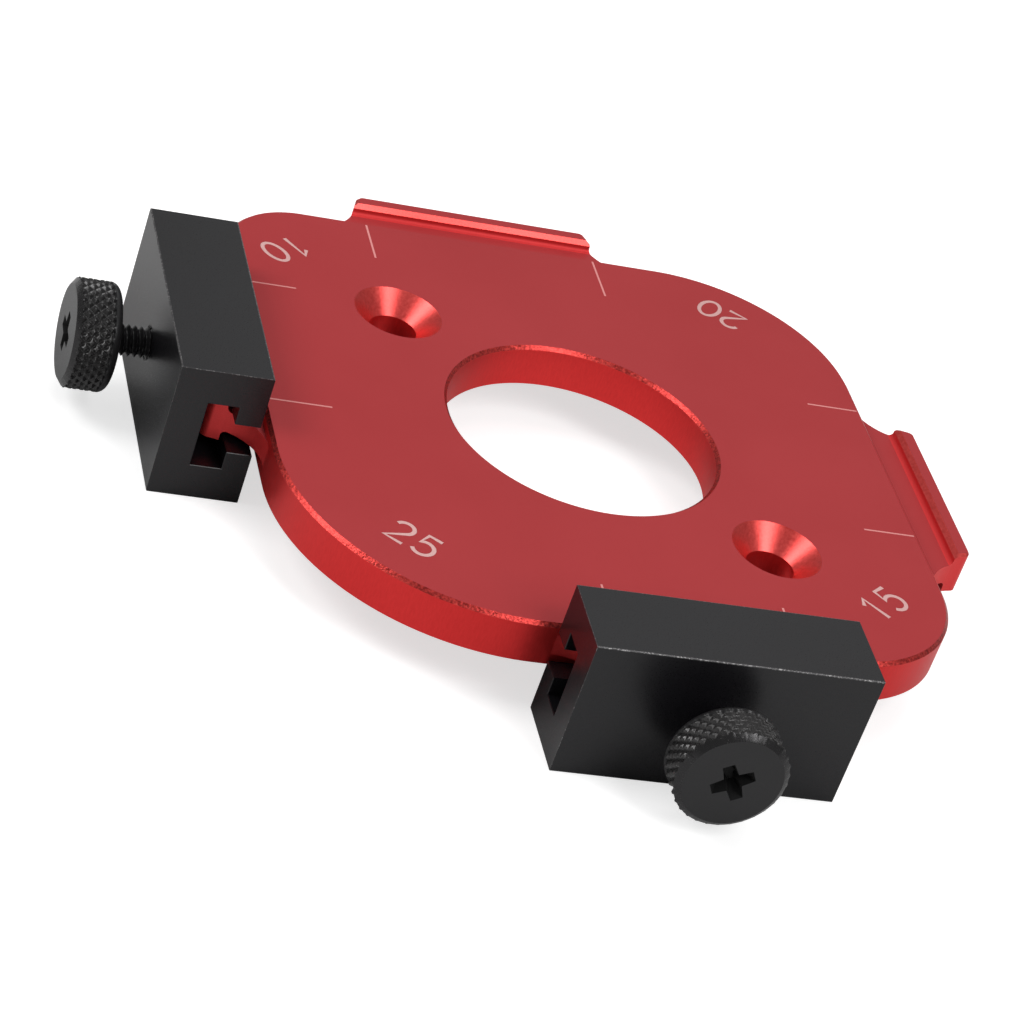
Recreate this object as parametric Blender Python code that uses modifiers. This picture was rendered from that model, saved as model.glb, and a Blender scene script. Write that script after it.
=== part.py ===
"""A router radius jig: a square template plate whose four corners have four radii,
with a T-shaped tab on each side. Two slotted fences slide on the left and front tabs
and are clamped by knurled thumb screws.

Metres, +Z up. +X runs right along the front side of the plate and +Y runs away from
the front. The origin is under the middle of the part's box.
"""

import math

import bmesh
import bpy
from mathutils import Matrix, Vector

# Template plate
PLATE_WIDTH = 0.074
PLATE_DEPTH = 0.074
PLATE_THICKNESS = 0.005
PLATE_CHAMFER = 0.0004
FRONT_LEFT_RADIUS = 0.025
FRONT_RIGHT_RADIUS = 0.015
BACK_RIGHT_RADIUS = 0.020
BACK_LEFT_RADIUS = 0.010
CENTRE_HOLE_DIAMETER = 0.031
SCREW_HOLE_DIAMETER = 0.0055
COUNTERSINK_DIAMETER = 0.0102
SCREW_HOLE_OFFSET = 0.0183

# Tabs on the plate's sides
TAB_REACH = 0.0058
TAB_TO_CORNER = 0.0075
TAB_NECK_THICKNESS = 0.0024
TAB_ROOT_RADIUS = 0.006
RIDGE_WIDTH = 0.002
RIDGE_FOOT_FILLET = 0.0003
RIDGE_END_RADIUS = 0.001
RIDGE_INNER_CHAMFER = 0.0005
RIDGE_OUTER_CHAMFER = 0.0003

# Fences
FENCE_LENGTH = 0.031
FENCE_WIDTH = 0.010
FENCE_HEIGHT = 0.016
FENCE_LIP = 0.0028
FENCE_EDGE_ROUND = 0.0003
SLOT_WIDTH = 0.0034
SLOT_HEIGHT = 0.0079
SLOT_NECK_HEIGHT = 0.0036
BORE_SIDE_OFFSET = 0.0006

# Thumb screws
HEAD_DIAMETER = 0.012
HEAD_LENGTH = 0.005
HEAD_CHAMFER = 0.0008
KNURL_DEPTH = 0.0003
KNURL_TEETH = 30
RECESS_SPAN = 0.0045
RECESS_ARM = 0.0013
RECESS_DEPTH = 0.0018
THREAD_DIAMETER = 0.0035
THREAD_PITCH = 0.0007
THREAD_DEPTH = 0.0003
THREAD_LENGTH = 0.0076
JOURNAL_DIAMETER = 0.0024
JOURNAL_LENGTH = 0.0024
LEFT_SCREW_BACKED_OFF = 0.0007
LEFT_RECESS_TURN = math.radians(-1)
FRONT_RECESS_TURN = math.radians(29)

# Clearances, and how far a cutter runs past what it cuts
CLEARANCE = 0.0003
OVERRUN = 0.001

# Numbers of steps
ARC_STEPS = 18
ROOT_ARC_STEPS = 9
SMALL_ARC_STEPS = 4
ROUND_STEPS = 72
BORE_STEPS = 24
THREAD_SIDES = 16
THREAD_ROWS_PER_PITCH = 4
KNURL_ROWS = 6

MERGE_DISTANCE = 0.000001
SMOOTH_ANGLE = math.radians(30)
FLAT_ANGLE = math.radians(0.1)

# Places that follow from the sizes above
RIDGE_INNER_REACH = TAB_REACH - RIDGE_WIDTH
LEFT_STAND_OFF = RIDGE_INNER_REACH - FENCE_LIP - CLEARANCE
FRONT_STAND_OFF = CLEARANCE
HEAD_TO_TIP = THREAD_LENGTH + CLEARANCE
FRONT_TIP_REACH = TAB_REACH + CLEARANCE
LEFT_TIP_REACH = FRONT_TIP_REACH + LEFT_SCREW_BACKED_OFF
FRONT_HEAD_REACH = FRONT_TIP_REACH + HEAD_TO_TIP + HEAD_LENGTH
LEFT_HEAD_REACH = LEFT_TIP_REACH + HEAD_TO_TIP + HEAD_LENGTH

# The middle of the part's box, seen from the middle of the plate
BOX_MIDDLE_X = (TAB_REACH - LEFT_HEAD_REACH) / 2
BOX_MIDDLE_Y = (TAB_REACH - FRONT_HEAD_REACH) / 2


def clear_scene():
    """Remove every object of the scene."""
    for item in list(bpy.data.objects):
        bpy.data.objects.remove(item, do_unlink=True)


def collection(name):
    """A new collection, linked to the scene."""
    group = bpy.data.collections.new(name)
    bpy.context.scene.collection.children.link(group)
    return group


def material(name, colour, roughness, metallic):
    """A Principled material of one colour."""
    mat = bpy.data.materials.new(name)
    mat.use_nodes = True
    shader = mat.node_tree.nodes["Principled BSDF"]
    shader.inputs["Base Color"].default_value = (*colour, 1.0)
    shader.inputs["Roughness"].default_value = roughness
    shader.inputs["Metallic"].default_value = metallic
    return mat


def arc(centre, radius, start, end, steps):
    """Points along an arc in the plane, both ends included."""
    points = []
    for i in range(steps + 1):
        angle = start + (end - start) * i / steps
        x = centre[0] + radius * math.cos(angle)
        y = centre[1] + radius * math.sin(angle)
        points.append((x, y))
    return points


def add_object(name, mesh, group):
    """An object that holds a mesh, linked to a collection."""
    item = bpy.data.objects.new(name, mesh)
    group.objects.link(item)
    return item


def as_cutter(item):
    """Mark an object as a cutter or a shape to be joined, not a piece of its own."""
    item.hide_render = True
    item.display_type = "WIRE"
    return item


def weld(mesh, join_flat_faces):
    """Join the points of a mesh that lie on each other, and if asked its faces in one plane."""
    edit = bmesh.new()
    edit.from_mesh(mesh)
    bmesh.ops.remove_doubles(edit, verts=edit.verts, dist=MERGE_DISTANCE)
    if join_flat_faces:
        bmesh.ops.dissolve_limit(edit, angle_limit=FLAT_ANGLE, verts=edit.verts, edges=edit.edges)
    bmesh.ops.recalc_face_normals(edit, faces=edit.faces)
    edit.to_mesh(mesh)
    edit.free()


def evaluated_mesh(item):
    """The mesh that an object's modifiers or curve give."""
    graph = bpy.context.evaluated_depsgraph_get()
    return bpy.data.meshes.new_from_object(item.evaluated_get(graph))


def slab(name, points, thickness, group):
    """A flat outline in the XY plane made as thick as asked, half to each side."""
    curve = bpy.data.curves.new(name, "CURVE")
    curve.dimensions = "2D"
    curve.fill_mode = "BOTH"
    curve.extrude = thickness / 2
    spline = curve.splines.new("POLY")
    spline.points.add(len(points) - 1)
    for point, (x, y) in zip(spline.points, points):
        point.co = (x, y, 0, 1)
    spline.use_cyclic_u = True
    outline = bpy.data.objects.new(name + "_outline", curve)
    group.objects.link(outline)
    mesh = evaluated_mesh(outline)
    bpy.data.objects.remove(outline, do_unlink=True)
    bpy.data.curves.remove(curve)
    weld(mesh, True)
    mesh.name = name
    return add_object(name, mesh, group)


def turned(name, profile, steps, group):
    """A solid turned about Z from a profile of (radius, height), top to bottom."""
    mesh = bpy.data.meshes.new(name + "_profile")
    edit = bmesh.new()
    row = [edit.verts.new((radius, 0, height)) for radius, height in profile]
    for first, second in zip(row, row[1:]):
        edit.edges.new((first, second))
    edit.to_mesh(mesh)
    edit.free()
    item = bpy.data.objects.new(name + "_profile", mesh)
    group.objects.link(item)
    screw = item.modifiers.new("Turn", "SCREW")
    screw.axis = "Z"
    screw.steps = steps
    screw.render_steps = steps
    screw.use_merge_vertices = True
    screw.merge_threshold = MERGE_DISTANCE
    solid = evaluated_mesh(item)
    bpy.data.objects.remove(item, do_unlink=True)
    bpy.data.meshes.remove(mesh)
    weld(solid, False)
    solid.name = name
    return add_object(name, solid, group)


def bevel(item, width, segments):
    """Break the sharp edges of an object."""
    edges = item.modifiers.new("Edges", "BEVEL")
    edges.width = width
    edges.segments = segments
    edges.limit_method = "ANGLE"
    edges.angle_limit = SMOOTH_ANGLE
    return edges


def bevel_top(item, width):
    """Chamfer the edges round the top face of a slab, and no others."""
    mesh = item.data
    top = max(point.co.z for point in mesh.vertices)
    weights = mesh.attributes.new("bevel_weight_edge", "FLOAT", "EDGE")
    for edge in mesh.edges:
        low = min(mesh.vertices[i].co.z for i in edge.vertices)
        weights.data[edge.index].value = 1 if low > top - MERGE_DISTANCE else 0
    bevel(item, width, 1).limit_method = "WEIGHT"


def boolean(item, other, operation):
    """Cut one object by another, or join the other to it."""
    step = item.modifiers.new(other.name, "BOOLEAN")
    step.operation = operation
    step.solver = "EXACT"
    step.object = other
    return step


def smooth(item):
    """Shade the round stretches smooth and keep the edges sharp."""
    item.data.shade_smooth()
    item.data.set_sharp_from_angle(angle=SMOOTH_ANGLE)


def plate_outline():
    """The square with a radius of its own at each corner."""
    half_x = PLATE_WIDTH / 2
    half_y = PLATE_DEPTH / 2
    quarter = math.pi / 2
    corners = (
        (1, 1, BACK_RIGHT_RADIUS, 0),
        (-1, 1, BACK_LEFT_RADIUS, quarter),
        (-1, -1, FRONT_LEFT_RADIUS, 2 * quarter),
        (1, -1, FRONT_RIGHT_RADIUS, 3 * quarter),
    )
    points = []
    for side_x, side_y, radius, start in corners:
        centre = (side_x * (half_x - radius), side_y * (half_y - radius))
        points += arc(centre, radius, start, start + quarter, ARC_STEPS)
    return points


def tab_places():
    """For each side: its name, turn, reach from the middle, and the tab's two ends."""
    half_x = PLATE_WIDTH / 2
    half_y = PLATE_DEPTH / 2
    return (
        ("right", 0, half_x,
         FRONT_RIGHT_RADIUS + TAB_TO_CORNER - half_y, half_y - BACK_RIGHT_RADIUS - TAB_TO_CORNER),
        ("back", math.pi / 2, half_y,
         BACK_RIGHT_RADIUS + TAB_TO_CORNER - half_x, half_x - BACK_LEFT_RADIUS - TAB_TO_CORNER),
        ("left", math.pi, half_x,
         BACK_LEFT_RADIUS + TAB_TO_CORNER - half_y, half_y - FRONT_LEFT_RADIUS - TAB_TO_CORNER),
        ("front", -math.pi / 2, half_y,
         FRONT_LEFT_RADIUS + TAB_TO_CORNER - half_x, half_x - FRONT_RIGHT_RADIUS - TAB_TO_CORNER),
    )


def tab_outline(reach, low, high):
    """A tab seen from above, on the +X side: a wide hollow arc leads from the plate's side into each
    rounded outer corner."""
    hollow = TAB_ROOT_RADIUS
    corner = RIDGE_END_RADIUS
    across = hollow + corner - TAB_REACH
    along = math.sqrt((hollow + corner) ** 2 - across ** 2)
    lean = math.atan2(across, along)
    root = reach - PLATE_CHAMFER - OVERRUN
    quarter = math.pi / 2
    start = low + corner - along
    points = [(root, start), (reach, start)]
    points += arc((reach + hollow, start), hollow, 2 * quarter, quarter + lean, ROOT_ARC_STEPS)[1:]
    inset = reach + TAB_REACH - corner
    points += arc((inset, low + corner), corner, lean - quarter, 0, SMALL_ARC_STEPS)[1:]
    return points + [(x, low + high - y) for x, y in reversed(points)]


def groove_outline(reach, chamfer):
    """A groove beside a tab's neck, in reach and height, flared to chamfer the ridge's edge."""
    floor = TAB_NECK_THICKNESS / 2
    top = PLATE_THICKNESS / 2 + OVERRUN
    wall = reach + RIDGE_INNER_REACH
    foot = RIDGE_FOOT_FILLET
    root = reach - PLATE_CHAMFER - 2 * OVERRUN
    centre = (wall - foot, floor + foot)
    points = [(root, floor)]
    points += arc(centre, foot, -math.pi / 2, 0, SMALL_ARC_STEPS)
    if chamfer:
        points += [(wall, top - OVERRUN - chamfer), (wall + chamfer + OVERRUN, top), (root, top)]
    else:
        points += [(wall, top), (root, top)]
    return points


def add_tab(plate, side, turn, reach, low, high, cutters):
    """One tab: a thin neck that carries a ridge as thick as the plate."""
    tab = slab(side + "_tab", tab_outline(reach, low, high), PLATE_THICKNESS, cutters)
    as_cutter(tab)
    bevel_top(tab, RIDGE_OUTER_CHAMFER)
    length = high - low + 2 * TAB_ROOT_RADIUS + 2 * OVERRUN
    upright = Matrix.Rotation(math.pi / 2, 4, "X")
    middle = Matrix.Translation((0, (low + high) / 2, 0))
    for face, flip, chamfer in (("top", 0, RIDGE_INNER_CHAMFER), ("bottom", math.pi, 0)):
        groove = slab(side + "_groove_" + face, groove_outline(reach, chamfer), length, cutters)
        groove.data.transform(Matrix.Rotation(flip, 4, "X") @ upright)
        groove.data.transform(middle)
        as_cutter(groove)
        groove.rotation_euler.z = turn
        boolean(tab, groove, "DIFFERENCE")
    tab.rotation_euler.z = turn
    boolean(plate, tab, "UNION")


def centre_hole_profile():
    """The centre hole with its chamfered mouth, top to bottom."""
    radius = CENTRE_HOLE_DIAMETER / 2
    top = PLATE_THICKNESS / 2
    mouth = radius + PLATE_CHAMFER
    return (
        (0, top + OVERRUN),
        (mouth + OVERRUN, top + OVERRUN),
        (radius, top - PLATE_CHAMFER),
        (radius, -top - OVERRUN),
        (0, -top - OVERRUN),
    )


def screw_hole_profile():
    """A countersunk screw hole, top to bottom."""
    mouth = COUNTERSINK_DIAMETER / 2
    radius = SCREW_HOLE_DIAMETER / 2
    top = PLATE_THICKNESS / 2
    return (
        (0, top + OVERRUN),
        (mouth + OVERRUN, top + OVERRUN),
        (radius, top - (mouth - radius)),
        (radius, -top - OVERRUN),
        (0, -top - OVERRUN),
    )


def build_plate(parts, cutters, red):
    """The template plate with its four tabs, its centre hole and two screw holes."""
    plate = slab("template_plate", plate_outline(), PLATE_THICKNESS, parts)
    plate.data.materials.append(red)
    bevel_top(plate, PLATE_CHAMFER)
    for side, turn, reach, low, high in tab_places():
        add_tab(plate, side, turn, reach, low, high, cutters)
    centre = as_cutter(turned("centre_hole", centre_hole_profile(), ROUND_STEPS, cutters))
    boolean(plate, centre, "DIFFERENCE")
    for name, side in (("back_left_hole", -1), ("front_right_hole", 1)):
        hole = as_cutter(turned(name, screw_hole_profile(), BORE_STEPS, cutters))
        hole.location = (side * SCREW_HOLE_OFFSET, -side * SCREW_HOLE_OFFSET, 0)
        boolean(plate, hole, "DIFFERENCE")
    smooth(plate)
    return plate


def fence_outline():
    """A fence's section: x grows outwards from its inner face, y is height."""
    half = FENCE_HEIGHT / 2
    neck = SLOT_NECK_HEIGHT / 2
    head = SLOT_HEIGHT / 2
    slot_end = FENCE_LIP + SLOT_WIDTH
    return (
        (0, neck),
        (FENCE_LIP, neck),
        (FENCE_LIP, head),
        (slot_end, head),
        (slot_end, -head),
        (FENCE_LIP, -head),
        (FENCE_LIP, -neck),
        (0, -neck),
        (0, -half),
        (FENCE_WIDTH, -half),
        (FENCE_WIDTH, half),
        (0, half),
    )


def build_fence(name, parts, cutters, black):
    """A fence block with its T-slot, open towards -X, and its screw bore, a little off the middle."""
    fence = slab(name, fence_outline(), FENCE_LENGTH, parts)
    fence.data.transform(Matrix.Rotation(math.pi / 2, 4, "X"))
    fence.data.materials.append(black)
    bevel(fence, FENCE_EDGE_ROUND, 2)
    radius = THREAD_DIAMETER / 2 + CLEARANCE
    wall = FENCE_WIDTH - FENCE_LIP - SLOT_WIDTH
    reach = wall / 2 + OVERRUN
    profile = ((0, reach), (radius, reach), (radius, -reach), (0, -reach))
    bore = turned(name + "_bore", profile, BORE_STEPS, cutters)
    bore.data.transform(Matrix.Rotation(math.pi / 2, 4, "Y"))
    bore.data.transform(Matrix.Translation((FENCE_WIDTH - wall / 2, -BORE_SIDE_OFFSET, 0)))
    as_cutter(bore)
    bore.parent = fence
    boolean(fence, bore, "DIFFERENCE")
    smooth(fence)
    return fence


def head_profile():
    """A screw head from its outer face down: flat, chamfer, knurled rim, chamfer, flat."""
    radius = HEAD_DIAMETER / 2
    top = HEAD_LENGTH / 2
    rim_top = top - HEAD_CHAMFER
    profile = [(0, top), (radius - HEAD_CHAMFER, top)]
    for i in range(KNURL_ROWS + 1):
        profile.append((radius, rim_top - 2 * rim_top * i / KNURL_ROWS))
    profile += [(radius - HEAD_CHAMFER, -top), (0, -top)]
    return profile


def cut_knurl(mesh):
    """Sink every second point of the rim, by turns, so that diamonds stand between them."""
    radius = HEAD_DIAMETER / 2
    rim_top = HEAD_LENGTH / 2 - HEAD_CHAMFER
    edit = bmesh.new()
    edit.from_mesh(mesh)
    sunk = set()
    for point in edit.verts:
        reach = math.hypot(point.co.x, point.co.y)
        if abs(reach - radius) > KNURL_DEPTH / 2:
            continue
        row = round((rim_top - point.co.z) / (2 * rim_top) * KNURL_ROWS)
        column = round(math.atan2(point.co.y, point.co.x) / math.pi * KNURL_TEETH)
        if (row + column) % 2:
            point.co.x *= (radius - KNURL_DEPTH) / radius
            point.co.y *= (radius - KNURL_DEPTH) / radius
            sunk.add(point)
    for face in list(edit.faces):
        low = [point for point in face.verts if point in sunk]
        if len(face.verts) == 4 and len(low) == 2:
            opposite = face.verts[0] in low and face.verts[2] in low
            if opposite or (face.verts[1] in low and face.verts[3] in low):
                bmesh.utils.face_split(face, low[0], low[1])
    edit.to_mesh(mesh)
    edit.free()


def cross_recess(name, turn, cutters):
    """The cross recess of a screw head, its arms crossing on the axis."""
    long = RECESS_SPAN / 2
    arm = RECESS_ARM / 2
    points = (
        (long, -arm), (long, arm), (arm, arm), (arm, long), (-arm, long), (-arm, arm),
        (-long, arm), (-long, -arm), (-arm, -arm), (-arm, -long), (arm, -long), (arm, -arm),
    )
    recess = slab(name, points, RECESS_DEPTH + OVERRUN, cutters)
    middle = HEAD_LENGTH / 2 + (OVERRUN - RECESS_DEPTH) / 2
    recess.data.transform(Matrix.Translation((0, 0, middle)) @ Matrix.Rotation(turn, 4, "Z"))
    return as_cutter(recess)


def build_head(name, turn, parts, cutters, black):
    """A knurled screw head about Z, its cross recess up, with a socket for the journal."""
    head = turned(name, head_profile(), 2 * KNURL_TEETH, parts)
    cut_knurl(head.data)
    head.data.materials.append(black)
    recess = cross_recess(name + "_recess", turn, cutters)
    radius = JOURNAL_DIAMETER / 2 + CLEARANCE
    deep = JOURNAL_LENGTH
    profile = ((0, deep / 2), (radius, deep / 2), (radius, -deep / 2 - OVERRUN), (0, -deep / 2 - OVERRUN))
    socket = turned(name + "_socket", profile, THREAD_SIDES, cutters)
    socket.data.transform(Matrix.Translation((0, 0, deep / 2 - HEAD_LENGTH / 2)))
    as_cutter(socket)
    for cutter in (recess, socket):
        cutter.parent = head
        boolean(head, cutter, "DIFFERENCE")
    smooth(head)
    return head


def shank_profile():
    """A screw shank from its journal down to its tip, with a row every quarter pitch."""
    journal = JOURNAL_DIAMETER / 2
    radius = THREAD_DIAMETER / 2
    core = radius - THREAD_DEPTH
    rows = round(THREAD_LENGTH / THREAD_PITCH * THREAD_ROWS_PER_PITCH)
    profile = [(0, JOURNAL_LENGTH), (journal, JOURNAL_LENGTH), (journal, 0), (core, 0)]
    for i in range(1, rows):
        profile.append((radius, -THREAD_LENGTH * i / rows))
    profile += [(core, -THREAD_LENGTH), (0, -THREAD_LENGTH)]
    return profile


def cut_thread(mesh):
    """Sink the shank's points to a helical V thread."""
    radius = THREAD_DIAMETER / 2
    for point in mesh.vertices:
        reach = math.hypot(point.co.x, point.co.y)
        if abs(reach - radius) > THREAD_DEPTH / 2:
            continue
        turns = math.atan2(point.co.y, point.co.x) / (2 * math.pi)
        phase = (point.co.z / THREAD_PITCH - turns) % 1
        depth = THREAD_DEPTH * abs(2 * phase - 1)
        point.co.x *= (radius - depth) / radius
        point.co.y *= (radius - depth) / radius


def build_shank(name, parts, steel):
    """A screw's threaded shank about Z, with the journal that its head turns on."""
    shank = turned(name, shank_profile(), THREAD_SIDES, parts)
    cut_thread(shank.data)
    shank.data.materials.append(steel)
    smooth(shank)
    return shank


def place_side(side, turn, stand_off, slide_middle, tip_reach, recess_turn, frame, parts, cutters, looks):
    """A fence on one side of the plate with its thumb screw, both square to that side."""
    black, steel = looks
    fence = build_fence(side + "_fence", parts, cutters, black)
    head = build_head(side + "_screw_head", recess_turn, parts, cutters, steel)
    shank = build_shank(side + "_screw_shank", parts, steel)
    outwards = Vector((math.cos(turn), math.sin(turn), 0))
    along = Vector((-math.sin(turn), math.cos(turn), 0))
    half = abs(outwards.x) * PLATE_WIDTH / 2 + abs(outwards.y) * PLATE_DEPTH / 2
    middle = along * slide_middle
    fence.location = middle + outwards * (half + stand_off)
    fence.rotation_euler.z = turn
    axis = middle - along * BORE_SIDE_OFFSET
    shank.location = axis + outwards * (half + tip_reach + THREAD_LENGTH)
    head.location = axis + outwards * (half + tip_reach + HEAD_TO_TIP + HEAD_LENGTH / 2)
    lying = (0, math.pi / 2, turn)
    shank.rotation_euler = lying
    head.rotation_euler = lying
    for item in (fence, head, shank):
        item.parent = frame


def build():
    """The whole jig."""
    clear_scene()
    parts = collection("router_radius_jig")
    cutters = collection("cutters")
    red = material("red_anodised", (0.42, 0.032, 0.036), 0.38, 1.0)
    black = material("black_anodised", (0.025, 0.025, 0.027), 0.42, 0.6)
    steel = material("black_steel", (0.03, 0.03, 0.032), 0.35, 0.8)
    frame = bpy.data.objects.new("jig_frame", None)
    parts.objects.link(frame)
    frame.location = (-BOX_MIDDLE_X, -BOX_MIDDLE_Y, FENCE_HEIGHT / 2)
    plate = build_plate(parts, cutters, red)
    plate.parent = frame
    for item in cutters.objects:
        item.parent = frame
    ends = {side: (low + high) / 2 for side, turn, reach, low, high in tab_places()}
    looks = (black, steel)
    place_side("left", math.pi, LEFT_STAND_OFF, ends["left"], LEFT_TIP_REACH,
               LEFT_RECESS_TURN, frame, parts, cutters, looks)
    place_side("front", -math.pi / 2, FRONT_STAND_OFF, ends["front"], FRONT_TIP_REACH,
               FRONT_RECESS_TURN, frame, parts, cutters, looks)
    bpy.context.view_layer.update()


build()
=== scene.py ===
"""The looks of the router radius jig: its finish, with light and shade painted into the tones of some
faces, its fine edges, knurls, threads and marks.
"""

import math

import bmesh
import bpy
from mathutils import Matrix, Vector


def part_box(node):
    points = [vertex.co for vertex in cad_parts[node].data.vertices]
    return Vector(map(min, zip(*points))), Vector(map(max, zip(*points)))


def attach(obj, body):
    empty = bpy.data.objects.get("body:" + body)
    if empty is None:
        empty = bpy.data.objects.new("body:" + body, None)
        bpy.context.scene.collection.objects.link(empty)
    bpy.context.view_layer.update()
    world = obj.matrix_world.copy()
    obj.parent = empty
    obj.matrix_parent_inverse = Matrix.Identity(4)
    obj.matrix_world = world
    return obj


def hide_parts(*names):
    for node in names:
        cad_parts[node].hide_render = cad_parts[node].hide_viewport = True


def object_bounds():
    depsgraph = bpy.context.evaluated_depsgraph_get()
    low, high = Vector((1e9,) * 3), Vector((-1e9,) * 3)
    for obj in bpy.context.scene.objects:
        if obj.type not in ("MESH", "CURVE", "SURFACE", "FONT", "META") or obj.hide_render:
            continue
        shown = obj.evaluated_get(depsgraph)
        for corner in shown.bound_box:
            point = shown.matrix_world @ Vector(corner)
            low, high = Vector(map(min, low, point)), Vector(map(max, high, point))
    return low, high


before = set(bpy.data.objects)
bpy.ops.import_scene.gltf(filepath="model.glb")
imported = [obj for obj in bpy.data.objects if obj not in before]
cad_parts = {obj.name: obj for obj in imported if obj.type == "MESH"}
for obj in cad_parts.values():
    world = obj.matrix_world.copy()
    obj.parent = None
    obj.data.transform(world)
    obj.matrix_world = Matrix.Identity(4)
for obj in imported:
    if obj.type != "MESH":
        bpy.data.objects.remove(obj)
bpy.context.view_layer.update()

MM = 0.001

# The plate's sizes that model.glb doesn't give by itself
CORNER_RADIUS = {
    "front_left": 25 * MM,
    "front_right": 15 * MM,
    "back_right": 20 * MM,
    "back_left": 10 * MM,
}
PLATE_CHAMFER = 0.4 * MM
HOLE_RADIUS = 15.5 * MM
SCREW_HOLE_RADIUS = 2.75 * MM
COUNTERSINK_RADIUS = 5.1 * MM
SCREW_HOLE_OFFSET = 18.3 * MM

# The tabs
TAB_REACH = 5.8 * MM
TAB_TO_CORNER = 7.5 * MM
TAB_NECK = 2.4 * MM
TAB_ROOT_RADIUS = 6.0 * MM
RIDGE_WIDTH = 2.0 * MM
RIDGE_FOOT = 0.6 * MM
RIDGE_END_RADIUS = 1.0 * MM
RIDGE_INNER_CHAMFER = 0.5 * MM
RIDGE_END_CHAMFER = 0.5 * MM
RIDGE_OUTER_SHARE = 0.4
EDGE_BREAK = 0.06 * MM

# The fences
FENCE_LIP = 2.8 * MM
FENCE_ROUND = 0.15 * MM
SAWN_SHARE = 0.2
SLOT_WIDTH = 3.4 * MM
SLOT_HEIGHT = 7.9 * MM
SLOT_NECK = 3.6 * MM
SLOT_END = FENCE_LIP + SLOT_WIDTH
BORE_GAP = 0.05 * MM
BORE_CHAMFER = 0.25 * MM

# The thumb screws' heads, with a small break, in and down, at each end of the chamfer
HEAD_CHAMFER = 0.6 * MM
HEAD_BACK_ROUND = 1.0 * MM
HEAD_FACE_INSET = 0.8 * MM
FACE_BREAK = (0.06 * MM, 0.03 * MM)
RIM_BREAK = (0.12 * MM, 0.1 * MM)
KNURL_TEETH = 30
KNURL_DEPTH = 0.4 * MM
KNURL_GROOVE_SHARE = 0.75
KNURL_CROSS_SHARES = {"left": 0.85, "front": 0.5}
KNURL_ANGLE = math.radians(44)
RECESS_SPAN = 4.5 * MM
RECESS_ARM = 1.25 * MM
RECESS_DEPTH = 2.0 * MM
RECESS_WEB_SHARE = 1.25
RECESS_FLOOR_SHARE = 0.5
RECESS_TURN = {"left": math.radians(-1), "front": math.radians(29)}

# Their shanks: the thread starts inside the head and ends short of the tip, which has two steps, in and up
THREAD_PITCH = 0.7 * MM
THREAD_DEPTH = 0.38 * MM
THREAD_SLOPE_SHARE = 1.3
THREAD_CREST_SHARE = 0.1
THREAD_START = 0.3 * MM
THREAD_END = 0.35 * MM
TIP_STEPS = ((0.45 * MM, 0.12 * MM), (0.6 * MM, 0))

# The marks on the plate
MARK_WIDTH = 0.24 * MM
MARK_RISE = 0.012 * MM
STROKE = 0.5 * MM
TICK_START = 0.55 * MM
# Each side's lines in millimetres: the place from the side's front or left end, and the reach inwards
TICKS = {
    "back": ((17.85, 7.6), (46.0, 8.0)),
    "left": ((57.0, 7.0), (33.9, 7.7)),
    "right": ((49.0, 6.75), (24.85, 6.6)),
    "front": ((32.7, 8.0), (53.1, 8.0)),
}
FIGURE_HEIGHT = 3.7 * MM
FIGURE_WIDTH_SHARE = 0.62
FIGURE_STEP_SHARE = 0.84
# Each number's name, its text, its place in millimetres from the plate's middle, and its turn
FIGURES = (
    ("figure_25", "25", (-24.0, -25.3), math.radians(-40)),
    ("figure_15", "15", (28.7, -25.8), math.radians(40)),
    ("figure_20", "20", (23.7, 29.0), math.radians(142)),
    ("figure_10", "10", (-30.1, 28.1), math.radians(214)),
)

# How far cuts run past what they cut, and how closely places are compared
OVERRUN = 1.0 * MM
TINY = 0.001 * MM

# Steps of the round shapes
CORNER_STEPS = 40
ROOT_STEPS = 20
FILLET_STEPS = 8
HOLE_STEPS = 160
BORE_STEPS = 64
FENCE_ROUND_STEPS = 3
STEPS_PER_TOOTH = 12
HEAD_STEPS = KNURL_TEETH * STEPS_PER_TOOTH
HEAD_BACK_STEPS = 10
KNURL_ROWS = 56
SHANK_STEPS = 48
THREAD_ROWS_PER_PITCH = 14
STROKE_STEPS = 3
RING_STEPS = 40
HOOK_STEPS = 16
BOWL_STEPS = 20

# Edges that turn further than this stay sharp, and large faces bend the shading of small ones
SMOOTH_ANGLE = math.radians(30)
LARGE_FACE_WEIGHT = 100

# By its normal's rise, a face is flat above the first, a wall below the second and slanting above the third
FLAT_RISE = 0.98
WALL_RISE = 0.3
SLANT_RISE = 0.1
# How far a normal leans to the plate's middle on the wall of a tab's groove
INWARD_SHARE = 0.125

# A bevel's material slot when its new faces keep their neighbours' material
KEEP_MATERIAL = -1


def middle_of(node):
    """The middle of a node's box."""
    low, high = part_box(node)
    return (low + high) / 2


PLATE_MIDDLE = middle_of("template_plate")
PLATE_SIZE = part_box("template_plate")[1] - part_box("template_plate")[0]
PLATE_TOP = PLATE_SIZE.z / 2
HALF_X = PLATE_SIZE.x / 2 - TAB_REACH
HALF_Y = PLATE_SIZE.y / 2 - TAB_REACH


# Meshes

def arc(centre, radius, start, end, steps):
    """Points along an arc in the plane, both ends included."""
    turns = [start + (end - start) * i / steps for i in range(steps + 1)]
    return [(centre[0] + radius * math.cos(a), centre[1] + radius * math.sin(a)) for a in turns]


def new_object(name, data):
    """A linked object for a mesh, curve, lamp or camera."""
    item = bpy.data.objects.new(name, data)
    bpy.context.scene.collection.objects.link(item)
    return item


def object_from(edit, name):
    """A linked object from an edited mesh, its normals outwards."""
    bmesh.ops.recalc_face_normals(edit, faces=edit.faces)
    mesh = bpy.data.meshes.new(name)
    edit.to_mesh(mesh)
    edit.free()
    return new_object(name, mesh)


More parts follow.
